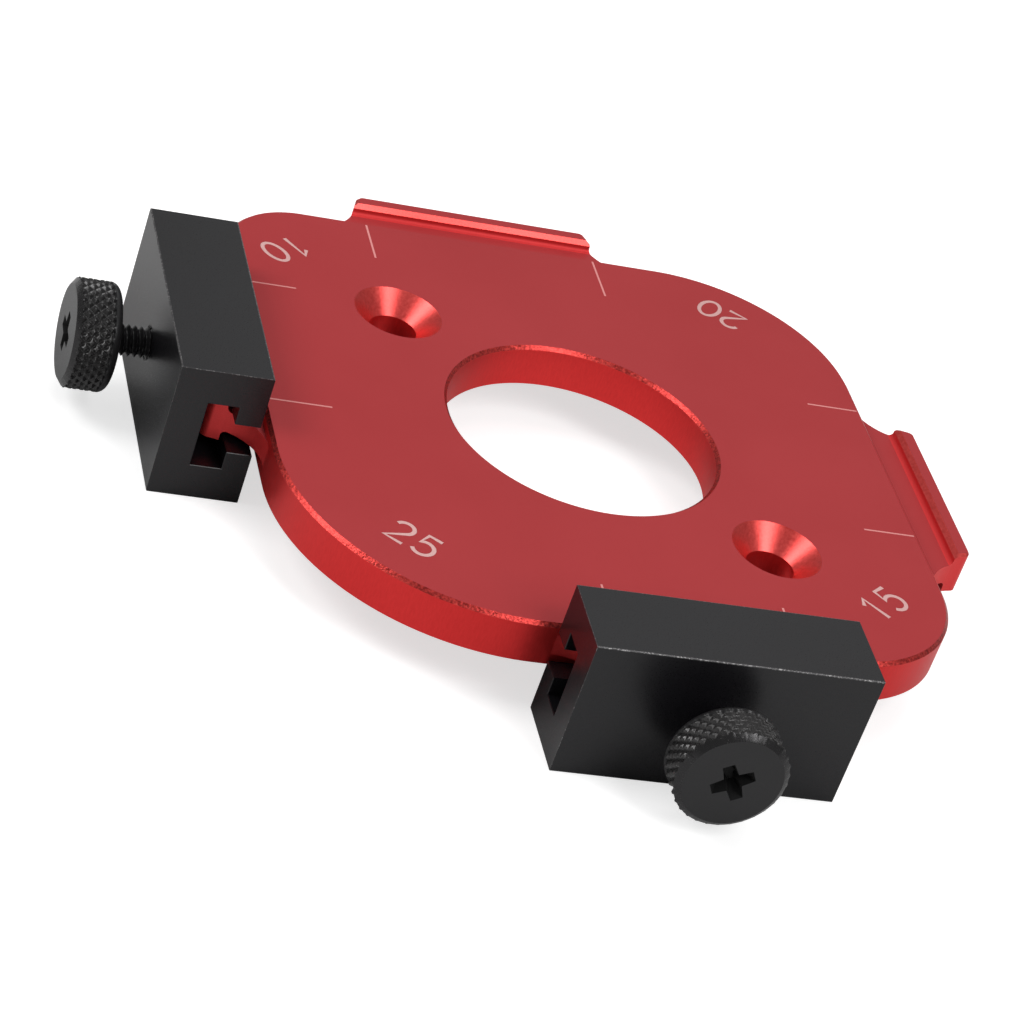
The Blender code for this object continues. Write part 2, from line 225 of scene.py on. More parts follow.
def prism(name, points, low, high, top_scale=1.0):
    """A flat outline raised from one height to another; the top may be scaled."""
    edit = bmesh.new()
    base = [edit.verts.new((x, y, low)) for x, y in points]
    roof = [edit.verts.new((x * top_scale, y * top_scale, high)) for x, y in points]
    edit.faces.new(base)
    edit.faces.new(roof)
    for i in range(len(points)):
        j = (i + 1) % len(points)
        edit.faces.new((base[i], base[j], roof[j], roof[i]))
    return object_from(edit, name)


def turned(name, profile, columns, radius_at=None):
    """A closed solid turned about Z. The profile's (radius, height) rows run top to bottom."""
    edit = bmesh.new()
    rows = []
    for radius, height in profile:
        row = []
        for i in range(columns):
            angle = 2 * math.pi * i / columns
            r = radius_at(angle, height, radius) if radius_at else radius
            row.append(edit.verts.new((r * math.cos(angle), r * math.sin(angle), height)))
        rows.append(row)
    for upper, lower in zip(rows, rows[1:]):
        for i in range(columns):
            j = (i + 1) % columns
            edit.faces.new((upper[i], lower[i], lower[j], upper[j]))
    edit.faces.new(rows[0])
    edit.faces.new(list(reversed(rows[-1])))
    return object_from(edit, name)


def bevel(item, width, share_at, segments=1, slot=KEEP_MATERIAL):
    """Break each edge by a share of the width; the new faces may take a material slot of their own."""
    mesh = item.data
    name = "bevel_weight_edge"
    weights = mesh.attributes.get(name) or mesh.attributes.new(name, "FLOAT", "EDGE")
    for edge in mesh.edges:
        first, second = [mesh.vertices[i].co for i in edge.vertices]
        weights.data[edge.index].value = share_at(first, second)
    step = item.modifiers.new("edges", "BEVEL")
    step.width = width
    step.segments = segments
    step.limit_method = "WEIGHT"
    step.material = slot
    apply_modifiers(item)


def on_top(first, second):
    """Whether an edge lies in the plate's top face."""
    return 1 if min(first.z, second.z) > PLATE_TOP - TINY else 0


def ridge_share(first, second):
    """A ridge's share of its chamfer: whole at the ends of its top, narrower along the outside."""
    run = second - first
    return on_top(first, second) * (1 - (1 - RIDGE_OUTER_SHARE) * abs(run.y) / run.length)


def in_slot(point):
    """Whether a point of a block's section is one of its slot's corners."""
    return abs(point.y) < SLOT_HEIGHT / 2 + TINY


def block_share(first, second):
    """A block's long outer edges whole, the edges of its sawn ends less, and its slot's not at all."""
    if in_slot(first) or in_slot(second):
        return 0
    return 1 if abs(second.z - first.z) > TINY else SAWN_SHARE


def slot_share(first, second):
    """Only the edges of a block's slot."""
    return 1 if in_slot(first) and in_slot(second) else 0


def boolean(item, other, operation):
    """Cut one object by another, or join the other to it, and apply that."""
    step = item.modifiers.new("boolean", "BOOLEAN")
    step.operation = operation
    step.solver = "EXACT"
    step.object = other
    apply_modifiers(item)
    bpy.data.objects.remove(other, do_unlink=True)


def apply_modifiers(item):
    """Write an object's modifiers into its mesh."""
    graph = bpy.context.evaluated_depsgraph_get()
    mesh = bpy.data.meshes.new_from_object(item.evaluated_get(graph))
    old = item.data
    item.modifiers.clear()
    item.data = mesh
    bpy.data.meshes.remove(old)


def finish_shading(item):
    """Round stretches shade smooth and the large flats stay flat."""
    item.data.shade_smooth()
    item.data.set_sharp_from_angle(angle=SMOOTH_ANGLE)
    step = item.modifiers.new("flat_faces", "WEIGHTED_NORMAL")
    step.keep_sharp = True
    step.weight = LARGE_FACE_WEIGHT


def finish_and_light_by_kind(item, finishes_and_light, kind_of):
    """Give each face the material of its kind."""
    kinds = list(finishes_and_light)
    for mat in finishes_and_light.values():
        item.data.materials.append(mat)
    for face in item.data.polygons:
        face.material_index = kinds.index(kind_of(face))


# Materials

# What the materials share: the scale of their slow drift, and what their grain does
DRIFT_SCALE = 60
GRAIN_ROUGHNESS = 0.6
GRAIN_BUMP = 0.25
GRAIN_GLOSS = 0.05
WORN_GLOSS = 0.08
BARE_METALLIC = 0.9
# A noise's usual middle range
NOISE_LOW = 0.3
NOISE_HIGH = 0.7
# A grain's stretch: none, or drawn out upright
WHOLE = (1, 1, 1)
UPRIGHT = (1, 1, 0.25)


def principled(name):
    """A new node material: its tree and its Principled shader."""
    mat = bpy.data.materials.new(name)
    mat.use_nodes = True
    return mat, mat.node_tree, mat.node_tree.nodes["Principled BSDF"]


def node(tree, kind, **values):
    """A new node with its settings and its input values."""
    made = tree.nodes.new(kind)
    for key, value in values.items():
        if hasattr(made, key):
            setattr(made, key, value)
        else:
            made.inputs[key.replace("_", " ")].default_value = value
    return made


def noise(tree, scale, detail, roughness=0.5, stretch=WHOLE):
    """A noise over the object's own coordinates."""
    place = node(tree, "ShaderNodeTexCoord")
    mapping = node(tree, "ShaderNodeMapping")
    mapping.inputs["Scale"].default_value = stretch
    texture = node(tree, "ShaderNodeTexNoise", Scale=scale, Detail=detail, Roughness=roughness)
    tree.links.new(place.outputs["Object"], mapping.inputs["Vector"])
    tree.links.new(mapping.outputs["Vector"], texture.inputs["Vector"])
    return texture.outputs["Fac"]


def ranged(tree, value, low, high, from_low=NOISE_LOW, from_high=NOISE_HIGH):
    """A value's range, or a noise's middle range, mapped to another."""
    step = node(tree, "ShaderNodeMapRange")
    step.inputs["From Min"].default_value = from_low
    step.inputs["From Max"].default_value = from_high
    step.inputs["To Min"].default_value = low
    step.inputs["To Max"].default_value = high
    tree.links.new(value, step.inputs["Value"])
    return step.outputs["Result"]


def mixed(tree, factor, first, second):
    """A colour between two, by a factor."""
    step = node(tree, "ShaderNodeMix", data_type="RGBA")
    step.inputs["A"].default_value = (*first, 1)
    step.inputs["B"].default_value = (*second, 1)
    tree.links.new(factor, step.inputs["Factor"])
    return step.outputs["Result"]


def bump(tree, shader, height, strength, distance):
    """A bump on a shader from a height."""
    step = node(tree, "ShaderNodeBump", Strength=strength, Distance=distance)
    tree.links.new(height, step.inputs["Height"])
    tree.links.new(step.outputs["Normal"], shader.inputs["Normal"])


def anodised(name, dark, light, rough, metallic, grain, depth, specular=0.5, stretch=WHOLE, fleck=0.5):
    """Anodised aluminium: a fine grain in tone, roughness and height, and a slow drift of tone."""
    mat, tree, shader = principled(name)
    fine = noise(tree, grain, detail=3, roughness=GRAIN_ROUGHNESS, stretch=stretch)
    slow = noise(tree, DRIFT_SCALE, detail=2)
    tone = node(tree, "ShaderNodeMath", operation="ADD")
    tree.links.new(ranged(tree, fine, 0, fleck), tone.inputs[0])
    tree.links.new(ranged(tree, slow, 0, 1 - fleck), tone.inputs[1])
    tree.links.new(mixed(tree, tone.outputs[0], dark, light), shader.inputs["Base Color"])
    gloss = ranged(tree, fine, rough - GRAIN_GLOSS, rough + GRAIN_GLOSS)
    tree.links.new(gloss, shader.inputs["Roughness"])
    shader.inputs["Metallic"].default_value = metallic
    shader.inputs["Specular IOR Level"].default_value = specular
    bump(tree, shader, fine, GRAIN_BUMP, depth)
    return mat


def worn(name, dark, bare, low, high, rough, metallic, grain, depth):
    """A dark finish that is worn to bare metal in specks, where a fine noise is high."""
    mat, tree, shader = principled(name)
    fine = noise(tree, grain, detail=4, roughness=GRAIN_ROUGHNESS)
    speck = ranged(tree, fine, 0, 1, low, high)
    tree.links.new(mixed(tree, speck, dark, bare), shader.inputs["Base Color"])
    tree.links.new(ranged(tree, speck, metallic, BARE_METALLIC, 0, 1), shader.inputs["Metallic"])
    gloss = ranged(tree, fine, rough - GRAIN_GLOSS, rough + WORN_GLOSS)
    tree.links.new(gloss, shader.inputs["Roughness"])
    bump(tree, shader, fine, GRAIN_BUMP, depth)
    return mat


RED_FACE = anodised(
    "red_satin", dark=(0.385, 0.027, 0.030), light=(0.43, 0.036, 0.040),
    rough=0.45, metallic=0.2, grain=9000, depth=0.02 * MM, specular=0.25,
)
# Painted light: the side walls are a lit copy of the plate's red, and their brighter base tone paints in
# the light that falls on them.
RED_WALL_LIT = anodised(
    "red_wall_lit", dark=(0.68, 0.026, 0.026), light=(0.82, 0.040, 0.040),
    rough=0.38, metallic=0.8, grain=5000, depth=0.02 * MM, stretch=UPRIGHT,
)
# Painted light: the bore is a brighter lit copy of the same red, and its tone paints in the light on the
# hole's wall.
RED_BORE_LIT = anodised(
    "red_bore_lit", dark=(0.78, 0.034, 0.034), light=(0.94, 0.052, 0.052),
    rough=0.36, metallic=0.8, grain=5000, depth=0.02 * MM, stretch=UPRIGHT,
)
# The cut chamfers: their dark and bright flecks are partly machining grain and partly painted glints, and
# their pale base is a painted highlight.
RED_CUT_GRAIN_AND_GLINT = anodised(
    "red_cut_edge_grain_and_glint", dark=(0.20, 0.012, 0.012), light=(0.84, 0.080, 0.070),
    rough=0.33, metallic=0.9, grain=3400, depth=0.22 * MM, fleck=0.85,
)
# Painted highlight: the cones and the ridges' top chamfers are a paler, pinker copy of the red.
RED_CONE_HIGHLIGHT = anodised(
    "red_cone_highlight", dark=(0.66, 0.045, 0.04), light=(0.86, 0.11, 0.10),
    rough=0.34, metallic=0.9, grain=3000, depth=0.03 * MM,
)
# Painted light and shade: the groove walls are a copy of the red set to a middle tone between the lit and
# the shaded grooves.
RED_GROOVE_LIGHT_AND_SHADE = anodised(
    "red_groove_light_and_shade", dark=(0.58, 0.024, 0.026), light=(0.68, 0.034, 0.036),
    rough=0.52, metallic=0.45, grain=6000, depth=0.01 * MM, specular=0.4,
)
# Painted light: the tabs' faces are a brighter lit copy of the red.
RED_TAB_LIT = anodised(
    "red_tab_lit", dark=(0.74, 0.035, 0.036), light=(0.86, 0.055, 0.055),
    rough=0.42, metallic=0.55, grain=6000, depth=0.01 * MM,
)
BLACK_FACE = anodised(
    "black_satin", dark=(0.0048, 0.0044, 0.0056), light=(0.0070, 0.0065, 0.0080),
    rough=0.31, metallic=0, grain=9000, depth=0.02 * MM, specular=0.44,
)
# The rounded block edges: the bare specks are wear, and the edge's lighter base tone is a painted highlight
# along the edge.
BLACK_EDGE_WEAR_AND_HIGHLIGHT = worn(
    "black_edge_wear_and_highlight", dark=(0.05, 0.048, 0.05), bare=(0.40, 0.39, 0.39), low=0.52, high=0.70,
    rough=0.32, metallic=0.3, grain=5200, depth=0.04 * MM,
)
SCREW_BLACK = anodised(
    "screw_black", dark=(0.011, 0.011, 0.012), light=(0.020, 0.019, 0.020),
    rough=0.34, metallic=0.2, grain=7000, depth=0.02 * MM, specular=0.42,
)
# Painted highlight: the knurl is a lighter copy of the head's black, for its brighter lit facets.
KNURL_BLACK_LIT = anodised(
    "screw_knurl_lit", dark=(0.012, 0.012, 0.013), light=(0.040, 0.038, 0.038),
    rough=0.28, metallic=0.4, grain=7000, depth=0.02 * MM, specular=0.7,
)
SCREW_RIM = worn(
    "screw_rim", dark=(0.040, 0.039, 0.040), bare=(0.36, 0.35, 0.34), low=0.66, high=0.76,
    rough=0.24, metallic=0.85, grain=6500, depth=0.008 * MM,
)
# Painted shade: the cross recess is a darker, duller copy of the head's black.
SCREW_RECESS_SHADE = anodised(
    "screw_recess_shade", dark=(0.006, 0.006, 0.006), light=(0.012, 0.012, 0.012),
    rough=0.5, metallic=0, grain=7000, depth=0.03 * MM, specular=0.2,
)
FIGURE_PALE = anodised(
    "laser_figure", dark=(0.56, 0.30, 0.29), light=(0.72, 0.44, 0.42),
    rough=0.6, metallic=0, grain=12000, depth=0.01 * MM, specular=0.3,
)
LINE_PALE = anodised(
    "laser_line", dark=(0.60, 0.21, 0.20), light=(0.76, 0.29, 0.28),
    rough=0.6, metallic=0, grain=12000, depth=0.01 * MM, specular=0.3,
)


# The template plate

def plate_outline():
    """The square with a radius of its own at each corner, round the middle."""
    corners = (
        (1, 1, "back_right", 0),
        (-1, 1, "back_left", 1),
        (-1, -1, "front_left", 2),
        (1, -1, "front_right", 3),
    )
    points = []
    for side_x, side_y, key, quarter in corners:
        radius = CORNER_RADIUS[key]
        centre = (side_x * (HALF_X - radius), side_y * (HALF_Y - radius))
        start = quarter * math.pi / 2
        points += arc(centre, radius, start, start + math.pi / 2, CORNER_STEPS)
    return points


def tabs():
    """For each tab: its turn about the middle, its side's reach and its two ends."""
    radius = CORNER_RADIUS
    sides = (
        (0, HALF_X, radius["front_right"] - HALF_Y, HALF_Y - radius["back_right"]),
        (1, HALF_Y, radius["back_right"] - HALF_X, HALF_X - radius["back_left"]),
        (2, HALF_X, radius["back_left"] - HALF_Y, HALF_Y - radius["front_left"]),
        (3, HALF_Y, radius["front_left"] - HALF_X, HALF_X - radius["front_right"]),
    )
    return [
        (quarter * math.pi / 2, reach, low + TAB_TO_CORNER, high - TAB_TO_CORNER)
        for quarter, reach, low, high in sides
    ]


def tab_outline(reach, low, high):
    """A tab from above, on the +X side: a wide hollow arc leads from the side into each rounded corner."""
    hollow = TAB_ROOT_RADIUS
    corner = RIDGE_END_RADIUS
    across = hollow + corner - TAB_REACH
    along = math.sqrt((hollow + corner) ** 2 - across ** 2)
    lean = math.atan2(across, along)
    root = reach - PLATE_CHAMFER - OVERRUN
    quarter = math.pi / 2
    start = low + corner - along
    points = [(root, start), (reach, start)]
    points += arc((reach + hollow, start), hollow, 2 * quarter, quarter + lean, ROOT_STEPS)[1:]
    inset = reach + TAB_REACH - corner
    points += arc((inset, low + corner), corner, lean - quarter, 0, FILLET_STEPS)[1:]
    return points + [(x, low + high - y) for x, y in reversed(points)]


def groove_outline(reach, chamfer):
    """A groove beside a tab's neck, reach across and height up, flared to chamfer the ridge."""
    floor = TAB_NECK / 2
    wall = reach + TAB_REACH - RIDGE_WIDTH
    root = reach - PLATE_CHAMFER - 2 * OVERRUN
    points = [(root, floor)]
    points += arc((wall - RIDGE_FOOT, floor + RIDGE_FOOT), RIDGE_FOOT, -math.pi / 2, 0, FILLET_STEPS)
    points += [(wall, PLATE_TOP - chamfer), (wall + chamfer + OVERRUN, PLATE_TOP + OVERRUN)]
    points += [(root, PLATE_TOP + OVERRUN)]
    return points


def add_tab(plate, turn, reach, low, high):
    """One tab: a thin neck that carries a ridge as thick as the plate."""
    tab = prism("tab", tab_outline(reach, low, high), -PLATE_TOP, PLATE_TOP)
    bevel(tab, RIDGE_END_CHAMFER, ridge_share)
    upright = Matrix.Rotation(math.pi / 2, 4, "X")
    span = (high - low) / 2 + TAB_ROOT_RADIUS + OVERRUN
    for flip, chamfer in ((0, RIDGE_INNER_CHAMFER), (math.pi, EDGE_BREAK)):
        groove = prism("groove", groove_outline(reach, chamfer), -span, span)
        groove.data.transform(Matrix.Rotation(flip, 4, "X") @ upright)
        groove.data.transform(Matrix.Translation((0, (low + high) / 2, 0)))
        boolean(tab, groove, "DIFFERENCE")
    tab.data.transform(Matrix.Rotation(turn, 4, "Z"))
    boolean(plate, tab, "UNION")


# The plate's materials by the kind of face that they cover: the flat top has the red's own colour, and the
# other kinds carry light and shade painted into their tones
PLATE_FINISH_AND_LIGHT = {
    "flat": RED_FACE,
    "wall": RED_WALL_LIT,
    "cut": RED_CUT_GRAIN_AND_GLINT,
    "cone": RED_CONE_HIGHLIGHT,
    "tab": RED_TAB_LIT,
    "groove": RED_GROOVE_LIGHT_AND_SHADE,
    "bore": RED_BORE_LIT,
}


def tab_face_kind(face):
    """The kind of one of a tab's upright or slanting faces."""
    x, y, z = face.center
    if abs(face.normal.z) > SLANT_RISE and z > PLATE_TOP - RIDGE_INNER_CHAMFER:
        return "cone"
    inwards = -face.normal.x * x if abs(x) - HALF_X > abs(y) - HALF_Y else -face.normal.y * y
    return "groove" if inwards > HALF_X * INWARD_SHARE else "tab"


def plate_face_kind(face):
    """The kind of one of the plate's faces, by its slope and its place."""
    rise = abs(face.normal.z)
    x, y = face.center.xy
    if rise > FLAT_RISE:
        return "flat"
    if max(abs(x) - HALF_X, abs(y) - HALF_Y) > TINY:
        return tab_face_kind(face)
    if rise < WALL_RISE:
        return "bore" if math.hypot(x, y) < HOLE_RADIUS + PLATE_CHAMFER else "wall"
    near = min(math.hypot(x - s * SCREW_HOLE_OFFSET, y + s * SCREW_HOLE_OFFSET) for s in (-1, 1))
    return "cone" if near < COUNTERSINK_RADIUS + PLATE_CHAMFER else "cut"


def screw_hole(side):
    """A cutter for the countersunk hole on one side of the plate's middle."""
    depth = COUNTERSINK_RADIUS - SCREW_HOLE_RADIUS
    top = PLATE_TOP + OVERRUN
    profile = (
        (COUNTERSINK_RADIUS + OVERRUN, top),
        (SCREW_HOLE_RADIUS, PLATE_TOP - depth),
        (SCREW_HOLE_RADIUS, -top),
    )
    hole = turned("screw_hole", profile, BORE_STEPS)
    hole.data.transform(Matrix.Translation((side * SCREW_HOLE_OFFSET, -side * SCREW_HOLE_OFFSET, 0)))
    return hole


def centre_hole():
    """A cutter for the hole in the plate's middle, chamfered at the top."""
    top = PLATE_TOP + OVERRUN
    profile = (
        (HOLE_RADIUS + PLATE_CHAMFER + OVERRUN, top),
        (HOLE_RADIUS, PLATE_TOP - PLATE_CHAMFER),
        (HOLE_RADIUS, -top),
    )
    return turned("hole", profile, HOLE_STEPS)


def build_plate():
    """The plate with its tabs and holes, in place of the CAD plate."""
    plate = prism("plate_shape", plate_outline(), -PLATE_TOP, PLATE_TOP)
    bevel(plate, PLATE_CHAMFER, on_top)
    for turn, reach, low, high in tabs():
        add_tab(plate, turn, reach, low, high)
    for cutter in (centre_hole(), screw_hole(-1), screw_hole(1)):
        boolean(plate, cutter, "DIFFERENCE")
    finish_and_light_by_kind(plate, PLATE_FINISH_AND_LIGHT, plate_face_kind)
    plate.data.transform(Matrix.Translation(PLATE_MIDDLE))
    finish_shading(plate)
    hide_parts("template_plate")
    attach(plate, "plate")


# The marks on the plate

def build_ticks():
    """The short lines by the sides, thin on the plate's top."""
    turns = {"right": 0, "back": 1, "left": 2, "front": 3}
    width = MARK_WIDTH / 2
    for side, places in TICKS.items():
        turn = turns[side] * math.pi / 2
        reach, half = (HALF_X, HALF_Y) if side in ("right", "left") else (HALF_Y, HALF_X)
        for i, (place, inner) in enumerate(places):
            along = (place * MM - half) * (1 if side in ("right", "front") else -1)
            start = reach - inner * MM
            end = reach - TICK_START
            low = along - width
            high = along + width
            points = ((start, low), (end, low), (end, high), (start, high))
            tick = prism(f"{side}_tick_{i}", points, PLATE_TOP - MARK_RISE, PLATE_TOP + MARK_RISE)
            tick.data.transform(Matrix.Rotation(turn, 4, "Z"))
            settle_mark(tick, LINE_PALE)


def settle_mark(item, mat):
    """Put a mark on the plate, riding with it."""
    item.data.materials.clear()
    item.data.materials.append(mat)
    item.data.transform(Matrix.Translation(PLATE_MIDDLE))
    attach(item, "plate")


def oval(middle, radii, start, end, steps):
    """Points along an upright oval between two angles in degrees, both ends included."""
    ring = arc((0, 0), 1, math.radians(start), math.radians(end), steps)
    return [(middle[0] + x * radii[0], middle[1] + y * radii[1]) for x, y in ring]


def figure_strokes(digit):
    """One digit, 0, 1, 2 or 5, as a stroke of points in a box one high, and whether it closes."""
    width = FIGURE_WIDTH_SHARE
    if digit == "0":
        return oval((width / 2, 0.5), (width / 2, 0.5), 0, 360, RING_STEPS)[:-1], True
    if digit == "1":
        return [(0.08, 0.76), (0.32, 1.0), (0.32, 0.0)], False
    if digit == "2":
        hook = oval((width / 2, 0.72), (0.28, 0.28), 165, -38, HOOK_STEPS)
        return hook + [(0.02, 0.0), (width, 0.0)], False
    bowl = oval((0.30, 0.33), (0.31, 0.33), 125, -145, BOWL_STEPS)
    return [(0.56, 1.0), (0.13, 1.0), (0.08, 0.54)] + bowl, False


def build_figure(name, text, middle, turn):
    """A plain number as flat strokes, centred on a place of the plate's top and turned."""
    curve = bpy.data.curves.new(name, "CURVE")
    curve.dimensions = "3D"
    curve.bevel_depth = STROKE / 2
    curve.bevel_resolution = STROKE_STEPS
    curve.use_fill_caps = True
    width = (len(text) - 1) * FIGURE_STEP_SHARE + FIGURE_WIDTH_SHARE
    for i, digit in enumerate(text):
        points, closed = figure_strokes(digit)
        spline = curve.splines.new("POLY")
        spline.points.add(len(points) - 1)
        for point, (x, y) in zip(spline.points, points):
            along = (x + i * FIGURE_STEP_SHARE - width / 2) * FIGURE_HEIGHT
            up = (y - 0.5) * FIGURE_HEIGHT
            point.co = (along, up, 0, 1)
        spline.use_cyclic_u = closed
    line = new_object(name, curve)
    graph = bpy.context.evaluated_depsgraph_get()
    mesh = bpy.data.meshes.new_from_object(line.evaluated_get(graph))
    bpy.data.objects.remove(line, do_unlink=True)
    flat = Matrix.Diagonal((1, 1, MARK_RISE / (STROKE / 2), 1))
    place = Matrix.Translation((middle[0] * MM, middle[1] * MM, PLATE_TOP))
    mesh.transform(place @ Matrix.Rotation(turn, 4, "Z") @ flat)
    mesh.shade_smooth()
    settle_mark(new_object(name, mesh), FIGURE_PALE)


# The fences

def fence_outline(width, height):
    """A fence's section, from its slotted inner face at zero to its outer face."""
    half = height / 2
    return (
        (0, SLOT_NECK / 2), (FENCE_LIP, SLOT_NECK / 2), (FENCE_LIP, SLOT_HEIGHT / 2),
        (SLOT_END, SLOT_HEIGHT / 2), (SLOT_END, -SLOT_HEIGHT / 2), (FENCE_LIP, -SLOT_HEIGHT / 2),
        (FENCE_LIP, -SLOT_NECK / 2), (0, -SLOT_NECK / 2),
        (0, -half), (width, -half), (width, half), (0, half),
    )


def fence_bore(radius, wall):
    """A cutter for the thumb screw's bore through a fence's wall, chamfered at the outer face."""
    profile = (
        (radius + BORE_CHAMFER + OVERRUN, wall / 2 + OVERRUN),
        (radius, wall / 2 - BORE_CHAMFER),
        (radius, -wall / 2 - OVERRUN),
    )
    bore = turned("bore", profile, BORE_STEPS)
    bore.data.transform(Matrix.Rotation(math.pi / 2, 4, "Y"))
    return bore


def build_fence(side, turn):
    """A slotted fence in place of its CAD block; its slot opens towards the plate."""
    name = side + "_fence"
    low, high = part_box(name)
    size = high - low
    width = min(size.x, size.y)
    length = max(size.x, size.y)
    fence = prism(name + "_block", fence_outline(width, size.z), -length / 2, length / 2)
    # The blocks' faces, and their rounded edges with wear specks and a painted highlight
    finishes_and_light = [BLACK_FACE, BLACK_EDGE_WEAR_AND_HIGHLIGHT]
    for mat in finishes_and_light:
        fence.data.materials.append(mat)
    bevel(fence, FENCE_ROUND, block_share, FENCE_ROUND_STEPS, finishes_and_light.index(BLACK_EDGE_WEAR_AND_HIGHLIGHT))
    bevel(fence, EDGE_BREAK, slot_share, slot=finishes_and_light.index(BLACK_FACE))
    fence.data.transform(Matrix.Rotation(math.pi / 2, 4, "X"))
    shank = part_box(side + "_screw_shank")
    wall = width - SLOT_END
    bore = fence_bore((shank[1].z - shank[0].z) / 2 + BORE_GAP, wall)
    outwards = Vector((math.cos(turn), math.sin(turn), 0))
    along = Vector((-math.sin(turn), math.cos(turn), 0))
    middle = (low + high) / 2
    aside = ((shank[0] + shank[1]) / 2 - middle).dot(along)
    bore.data.transform(Matrix.Translation((width - wall / 2, aside, 0)))
    boolean(fence, bore, "DIFFERENCE")
    fence.data.transform(Matrix.Translation(middle - outwards * width / 2) @ Matrix.Rotation(turn, 4, "Z"))
    finish_shading(fence)
    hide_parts(name)
    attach(fence, name)


# The thumb screws

def knurl_radius(angle, height, radius, rim, cross_share):
    """The rim's radius where two crossing families of helical grooves are cut, one the deeper."""
    if abs(radius - rim) > TINY:
        return radius
    lead = 2 * math.pi * rim / KNURL_TEETH / math.tan(KNURL_ANGLE)
    sunk = 0
    for hand, share in ((1, 1), (-1, cross_share)):
        across = KNURL_TEETH * angle / (2 * math.pi) + hand * height / lead
        groove = max(0, 1 - abs(across % 1 - 0.5) * 2 / KNURL_GROOVE_SHARE)
        sunk = max(sunk, share * groove)
    return radius - KNURL_DEPTH * sunk


def thread_radius(angle, height, radius, crest):
    """The shank's radius with a helical V thread."""
    if abs(radius - crest) > TINY:
        return radius
    phase = (height / THREAD_PITCH - angle / (2 * math.pi)) % 1
    flank = min(1, max(0, abs(2 * phase - 1) * THREAD_SLOPE_SHARE - THREAD_CREST_SHARE))
    return crest - THREAD_DEPTH * flank


def recess_cutter(turn, top):
    """The cross recess: four arms that narrow and draw in as they go down."""
    long = RECESS_SPAN / 2
    arm = RECESS_ARM / 2
    web = arm * RECESS_WEB_SHARE
    quarter = ((long, -arm), (long, arm), (web, web))
    points = []
    for c, s in ((1, 0), (0, 1), (-1, 0), (0, -1)):
        points += [(x * c - y * s, x * s + y * c) for x, y in quarter]
    grow = (RECESS_DEPTH + OVERRUN) / RECESS_DEPTH
    floor_share = RECESS_FLOOR_SHARE
    rim_share = floor_share + (1 - floor_share) * grow
    points = [(x * floor_share, y * floor_share) for x, y in points]
    cutter = prism("recess", points, top - RECESS_DEPTH, top + OVERRUN, rim_share / floor_share)
    cutter.data.transform(Matrix.Rotation(turn, 4, "Z"))
    return cutter


# A thumb screw's materials by the kind of face that they cover: the knurl carries a painted highlight and
# the recess painted shade
SCREW_FINISH_AND_LIGHT = {
    "turned": SCREW_BLACK,
    "chamfer": SCREW_RIM,
    "recess": SCREW_RECESS_SHADE,
    "knurl": KNURL_BLACK_LIT,
}


def screw_face_kind(face, rim, top):
    """The kind of one of a thumb screw's faces, by its place on the head."""
    height = face.center.z
    reach = math.hypot(face.center.x, face.center.y)
    if reach < RECESS_SPAN and top - RECESS_DEPTH - TINY < height < top - TINY:
        return "recess"
    if reach > rim - HEAD_FACE_INSET and top - HEAD_CHAMFER < height < top - TINY:
        return "chamfer"
    if reach > rim - KNURL_DEPTH - TINY and HEAD_BACK_ROUND - top < height < top - HEAD_CHAMFER:
        return "knurl"
    return "turned"


def head_profile(rim, top):
    """A head's rows from its face to its back: the chamfer, the knurled rim and the rounded back."""
    profile = [
        (rim - HEAD_FACE_INSET, top),
        (rim - HEAD_FACE_INSET + FACE_BREAK[0], top - FACE_BREAK[1]),
        (rim - RIM_BREAK[0], top - HEAD_CHAMFER + RIM_BREAK[1]),
    ]
    knurled = 2 * top - HEAD_CHAMFER - HEAD_BACK_ROUND
    profile += [(rim, top - HEAD_CHAMFER - knurled * i / KNURL_ROWS) for i in range(KNURL_ROWS + 1)]
    middle = (rim - HEAD_BACK_ROUND, HEAD_BACK_ROUND - top)
    return profile + arc(middle, HEAD_BACK_ROUND, 0, -math.pi / 2, HEAD_BACK_STEPS)[1:]


def shank_profile(crest, tip, top):
    """A shank's rows from inside the head to its tip."""
    start = -top + THREAD_START
    span = start - tip - THREAD_END
    rows = round((-tip - top) / (THREAD_PITCH / THREAD_ROWS_PER_PITCH))
    profile = [(crest, start - span * i / rows) for i in range(rows + 1)]
    return profile + [(crest - inwards, tip + up) for inwards, up in TIP_STEPS]


def build_screw(side, turn):
    """A whole thumb screw, which turns and advances with its head."""
    head_low, head_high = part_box(side + "_screw_head")
    shank_low, shank_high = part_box(side + "_screw_shank")
    outwards = Vector((round(math.cos(turn)), round(math.sin(turn)), 0))
    middle = (head_low + head_high) / 2
    rim = (head_high.z - head_low.z) / 2
    top = abs((head_high - head_low).dot(outwards)) / 2
    crest = (shank_high.z - shank_low.z) / 2
    tip = -max(abs((point - middle).dot(outwards)) for point in (shank_low, shank_high))
    cross = KNURL_CROSS_SHARES[side]
    head = turned(
        side + "_screw", head_profile(rim, top), HEAD_STEPS,
        lambda angle, height, radius: knurl_radius(angle, height, radius, rim, cross),
    )
    boolean(head, recess_cutter(RECESS_TURN[side], top), "DIFFERENCE")
    shank = turned(
        "shank", shank_profile(crest, tip, top), SHANK_STEPS,
        lambda angle, height, radius: thread_radius(angle, height, radius, crest),
    )
    boolean(head, shank, "UNION")
    finish_and_light_by_kind(head, SCREW_FINISH_AND_LIGHT, lambda face: screw_face_kind(face, rim, top))
    lying = Matrix.Rotation(turn, 4, "Z") @ Matrix.Rotation(math.pi / 2, 4, "Y")
    head.data.transform(Matrix.Translation(middle) @ lying)
    finish_shading(head)
    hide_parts(side + "_screw_head", side + "_screw_shank")
    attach(head, side + "_head")


